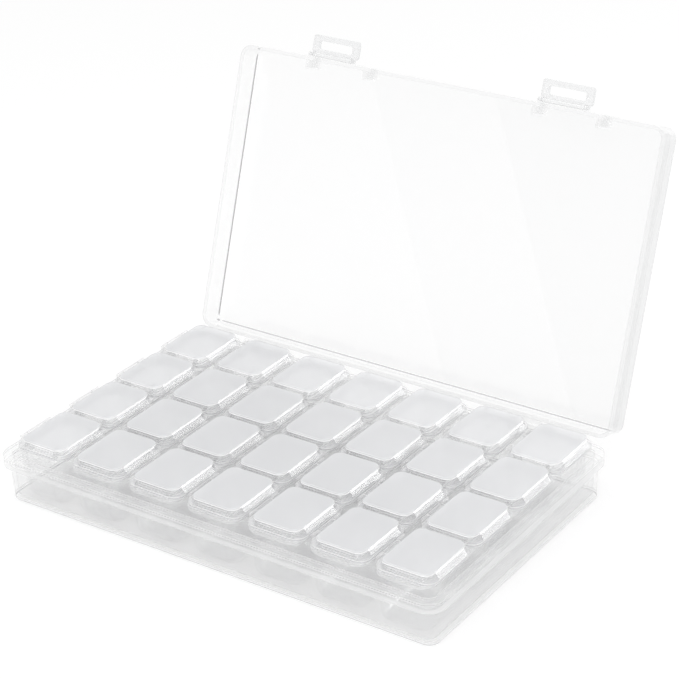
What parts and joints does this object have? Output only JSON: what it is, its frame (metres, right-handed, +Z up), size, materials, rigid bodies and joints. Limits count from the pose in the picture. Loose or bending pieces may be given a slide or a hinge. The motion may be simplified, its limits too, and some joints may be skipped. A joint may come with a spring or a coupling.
{
  "type": "bead organizer case",
  "caption": "Clear hinged organizer case with snap latches, holding lift-out strips of small cups, each cup with its own flip lid, for beads and small craft parts.",
  "frame": {"origin": "middle of the underside of the case base", "axes": "+X along the long side, +Y from the latch side to the hinge side, +Z up"},
  "size_m": [0.175, 0.1564, 0.1237],
  "materials": {
    "case_clear": "clear gloss polypropylene, lightly frosted",
    "lid_clear": "clear gloss",
    "latch_clear": "clear gloss",
    "strip_clear": "translucent gloss",
    "cup_lid_clear": "translucent gloss"
  },
  "bodies": {
    "case_base": {"case_base": "case_clear"},
    "case_lid": {"case_lid": "lid_clear"},
    "latch_left": {"latch_left": "latch_clear"},
    "latch_right": {"latch_right": "latch_clear"},
    "cup_strip_1": {"cup_strip_1": "strip_clear"},
    "cup_strip_2": {"cup_strip_2": "strip_clear"},
    "cup_strip_3": {"cup_strip_3": "strip_clear"},
    "cup_strip_4": {"cup_strip_4": "strip_clear"},
    "cup_strip_5": {"cup_strip_5": "strip_clear"},
    "cup_strip_6": {"cup_strip_6": "strip_clear"},
    "cup_strip_7": {"cup_strip_7": "strip_clear"},
    "cup_lid_1_1": {"cup_lid_1_1": "cup_lid_clear"},
    "cup_lid_1_2": {"cup_lid_1_2": "cup_lid_clear"},
    "cup_lid_1_3": {"cup_lid_1_3": "cup_lid_clear"},
    "cup_lid_1_4": {"cup_lid_1_4": "cup_lid_clear"},
    "cup_lid_2_1": {"cup_lid_2_1": "cup_lid_clear"},
    "cup_lid_2_2": {"cup_lid_2_2": "cup_lid_clear"},
    "cup_lid_2_3": {"cup_lid_2_3": "cup_lid_clear"},
    "cup_lid_2_4": {"cup_lid_2_4": "cup_lid_clear"},
    "cup_lid_3_1": {"cup_lid_3_1": "cup_lid_clear"},
    "cup_lid_3_2": {"cup_lid_3_2": "cup_lid_clear"},
    "cup_lid_3_3": {"cup_lid_3_3": "cup_lid_clear"},
    "cup_lid_3_4": {"cup_lid_3_4": "cup_lid_clear"},
    "cup_lid_4_1": {"cup_lid_4_1": "cup_lid_clear"},
    "cup_lid_4_2": {"cup_lid_4_2": "cup_lid_clear"},
    "cup_lid_4_3": {"cup_lid_4_3": "cup_lid_clear"},
    "cup_lid_4_4": {"cup_lid_4_4": "cup_lid_clear"},
    "cup_lid_5_1": {"cup_lid_5_1": "cup_lid_clear"},
    "cup_lid_5_2": {"cup_lid_5_2": "cup_lid_clear"},
    "cup_lid_5_3": {"cup_lid_5_3": "cup_lid_clear"},
    "cup_lid_5_4": {"cup_lid_5_4": "cup_lid_clear"},
    "cup_lid_6_1": {"cup_lid_6_1": "cup_lid_clear"},
    "cup_lid_6_2": {"cup_lid_6_2": "cup_lid_clear"},
    "cup_lid_6_3": {"cup_lid_6_3": "cup_lid_clear"},
    "cup_lid_6_4": {"cup_lid_6_4": "cup_lid_clear"},
    "cup_lid_7_1": {"cup_lid_7_1": "cup_lid_clear"},
    "cup_lid_7_2": {"cup_lid_7_2": "cup_lid_clear"},
    "cup_lid_7_3": {"cup_lid_7_3": "cup_lid_clear"},
    "cup_lid_7_4": {"cup_lid_7_4": "cup_lid_clear"}
  },
  "joints": [
    {"name": "case_lid_hinge", "type": "hinge", "parent": "case_base", "child": "case_lid", "pos_m": [0, 0.05465, 0.0165], "axis": [-1, 0, 0], "range_deg": [-110, 0]},
    {"name": "latch_left_hinge", "type": "hinge", "parent": "case_lid", "child": "latch_left", "pos_m": [-0.0468, 0.0932, 0.11745], "axis": [-1, 0, 0], "range_deg": [-90, 30]},
    {"name": "latch_right_hinge", "type": "hinge", "parent": "case_lid", "child": "latch_right", "pos_m": [0.0468, 0.0932, 0.11745], "axis": [-1, 0, 0], "range_deg": [-90, 30]},
    {"name": "strip_1_lift", "type": "slide", "parent": "case_base", "child": "cup_strip_1", "axis": [0, 0, 1], "range_m": [0, 0.03]},
    {"name": "strip_2_lift", "type": "slide", "parent": "case_base", "child": "cup_strip_2", "axis": [0, 0, 1], "range_m": [0, 0.03]},
    {"name": "strip_3_lift", "type": "slide", "parent": "case_base", "child": "cup_strip_3", "axis": [0, 0, 1], "range_m": [0, 0.03]},
    {"name": "strip_4_lift", "type": "slide", "parent": "case_base", "child": "cup_strip_4", "axis": [0, 0, 1], "range_m": [0, 0.03]},
    {"name": "strip_5_lift", "type": "slide", "parent": "case_base", "child": "cup_strip_5", "axis": [0, 0, 1], "range_m": [0, 0.03]},
    {"name": "strip_6_lift", "type": "slide", "parent": "case_base", "child": "cup_strip_6", "axis": [0, 0, 1], "range_m": [0, 0.03]},
    {"name": "strip_7_lift", "type": "slide", "parent": "case_base", "child": "cup_strip_7", "axis": [0, 0, 1], "range_m": [0, 0.03]},
    {"name": "cup_lid_1_1_hinge", "type": "hinge", "parent": "cup_strip_1", "child": "cup_lid_1_1", "pos_m": [-0.08325, -0.03784, 0.0209], "axis": [0, -1, 0], "range_deg": [0, 100]},
    {"name": "cup_lid_1_2_hinge", "type": "hinge", "parent": "cup_strip_1", "child": "cup_lid_1_2", "pos_m": [-0.08325, -0.01261, 0.0209], "axis": [0, -1, 0], "range_deg": [0, 100]},
    {"name": "cup_lid_1_3_hinge", "type": "hinge", "parent": "cup_strip_1", "child": "cup_lid_1_3", "pos_m": [-0.08325, 0.01261, 0.0209], "axis": [0, -1, 0], "range_deg": [0, 100]},
    {"name": "cup_lid_1_4_hinge", "type": "hinge", "parent": "cup_strip_1", "child": "cup_lid_1_4", "pos_m": [-0.08325, 0.03784, 0.0209], "axis": [0, -1, 0], "range_deg": [0, 100]},
    {"name": "cup_lid_2_1_hinge", "type": "hinge", "parent": "cup_strip_2", "child": "cup_lid_2_1", "pos_m": [-0.05916, -0.03784, 0.0209], "axis": [0, -1, 0], "range_deg": [0, 100]},
    {"name": "cup_lid_2_2_hinge", "type": "hinge", "parent": "cup_strip_2", "child": "cup_lid_2_2", "pos_m": [-0.05916, -0.01261, 0.0209], "axis": [0, -1, 0], "range_deg": [0, 100]},
    {"name": "cup_lid_2_3_hinge", "type": "hinge", "parent": "cup_strip_2", "child": "cup_lid_2_3", "pos_m": [-0.05916, 0.01261, 0.0209], "axis": [0, -1, 0], "range_deg": [0, 100]},
    {"name": "cup_lid_2_4_hinge", "type": "hinge", "parent": "cup_strip_2", "child": "cup_lid_2_4", "pos_m": [-0.05916, 0.03784, 0.0209], "axis": [0, -1, 0], "range_deg": [0, 100]},
    {"name": "cup_lid_3_1_hinge", "type": "hinge", "parent": "cup_strip_3", "child": "cup_lid_3_1", "pos_m": [-0.03508, -0.03784, 0.0209], "axis": [0, -1, 0], "range_deg": [0, 100]},
    {"name": "cup_lid_3_2_hinge", "type": "hinge", "parent": "cup_strip_3", "child": "cup_lid_3_2", "pos_m": [-0.03508, -0.01261, 0.0209], "axis": [0, -1, 0], "range_deg": [0, 100]},
    {"name": "cup_lid_3_3_hinge", "type": "hinge", "parent": "cup_strip_3", "child": "cup_lid_3_3", "pos_m": [-0.03508, 0.01261, 0.0209], "axis": [0, -1, 0], "range_deg": [0, 100]},
    {"name": "cup_lid_3_4_hinge", "type": "hinge", "parent": "cup_strip_3", "child": "cup_lid_3_4", "pos_m": [-0.03508, 0.03784, 0.0209], "axis": [0, -1, 0], "range_deg": [0, 100]},
    {"name": "cup_lid_4_1_hinge", "type": "hinge", "parent": "cup_strip_4", "child": "cup_lid_4_1", "pos_m": [-0.01099, -0.03784, 0.0209], "axis": [0, -1, 0], "range_deg": [0, 100]},
    {"name": "cup_lid_4_2_hinge", "type": "hinge", "parent": "cup_strip_4", "child": "cup_lid_4_2", "pos_m": [-0.01099, -0.01261, 0.0209], "axis": [0, -1, 0], "range_deg": [0, 100]},
    {"name": "cup_lid_4_3_hinge", "type": "hinge", "parent": "cup_strip_4", "child": "cup_lid_4_3", "pos_m": [-0.01099, 0.01261, 0.0209], "axis": [0, -1, 0], "range_deg": [0, 100]},
    {"name": "cup_lid_4_4_hinge", "type": "hinge", "parent": "cup_strip_4", "child": "cup_lid_4_4", "pos_m": [-0.01099, 0.03784, 0.0209], "axis": [0, -1, 0], "range_deg": [0, 100]},
    {"name": "cup_lid_5_1_hinge", "type": "hinge", "parent": "cup_strip_5", "child": "cup_lid_5_1", "pos_m": [0.01309, -0.03784, 0.0209], "axis": [0, -1, 0], "range_deg": [0, 100]},
    {"name": "cup_lid_5_2_hinge", "type": "hinge", "parent": "cup_strip_5", "child": "cup_lid_5_2", "pos_m": [0.01309, -0.01261, 0.0209], "axis": [0, -1, 0], "range_deg": [0, 100]},
    {"name": "cup_lid_5_3_hinge", "type": "hinge", "parent": "cup_strip_5", "child": "cup_lid_5_3", "pos_m": [0.01309, 0.01261, 0.0209], "axis": [0, -1, 0], "range_deg": [0, 100]},
    {"name": "cup_lid_5_4_hinge", "type": "hinge", "parent": "cup_strip_5", "child": "cup_lid_5_4", "pos_m": [0.01309, 0.03784, 0.0209], "axis": [0, -1, 0], "range_deg": [0, 100]},
    {"name": "cup_lid_6_1_hinge", "type": "hinge", "parent": "cup_strip_6", "child": "cup_lid_6_1", "pos_m": [0.03718, -0.03784, 0.0209], "axis": [0, -1, 0], "range_deg": [0, 100]},
    {"name": "cup_lid_6_2_hinge", "type": "hinge", "parent": "cup_strip_6", "child": "cup_lid_6_2", "pos_m": [0.03718, -0.01261, 0.0209], "axis": [0, -1, 0], "range_deg": [0, 100]},
    {"name": "cup_lid_6_3_hinge", "type": "hinge", "parent": "cup_strip_6", "child": "cup_lid_6_3", "pos_m": [0.03718, 0.01261, 0.0209], "axis": [0, -1, 0], "range_deg": [0, 100]},
    {"name": "cup_lid_6_4_hinge", "type": "hinge", "parent": "cup_strip_6", "child": "cup_lid_6_4", "pos_m": [0.03718, 0.03784, 0.0209], "axis": [0, -1, 0], "range_deg": [0, 100]},
    {"name": "cup_lid_7_1_hinge", "type": "hinge", "parent": "cup_strip_7", "child": "cup_lid_7_1", "pos_m": [0.06126, -0.03784, 0.0209], "axis": [0, -1, 0], "range_deg": [0, 100]},
    {"name": "cup_lid_7_2_hinge", "type": "hinge", "parent": "cup_strip_7", "child": "cup_lid_7_2", "pos_m": [0.06126, -0.01261, 0.0209], "axis": [0, -1, 0], "range_deg": [0, 100]},
    {"name": "cup_lid_7_3_hinge", "type": "hinge", "parent": "cup_strip_7", "child": "cup_lid_7_3", "pos_m": [0.06126, 0.01261, 0.0209], "axis": [0, -1, 0], "range_deg": [0, 100]},
    {"name": "cup_lid_7_4_hinge", "type": "hinge", "parent": "cup_strip_7", "child": "cup_lid_7_4", "pos_m": [0.06126, 0.03784, 0.0209], "axis": [0, -1, 0], "range_deg": [0, 100]}
  ]
}
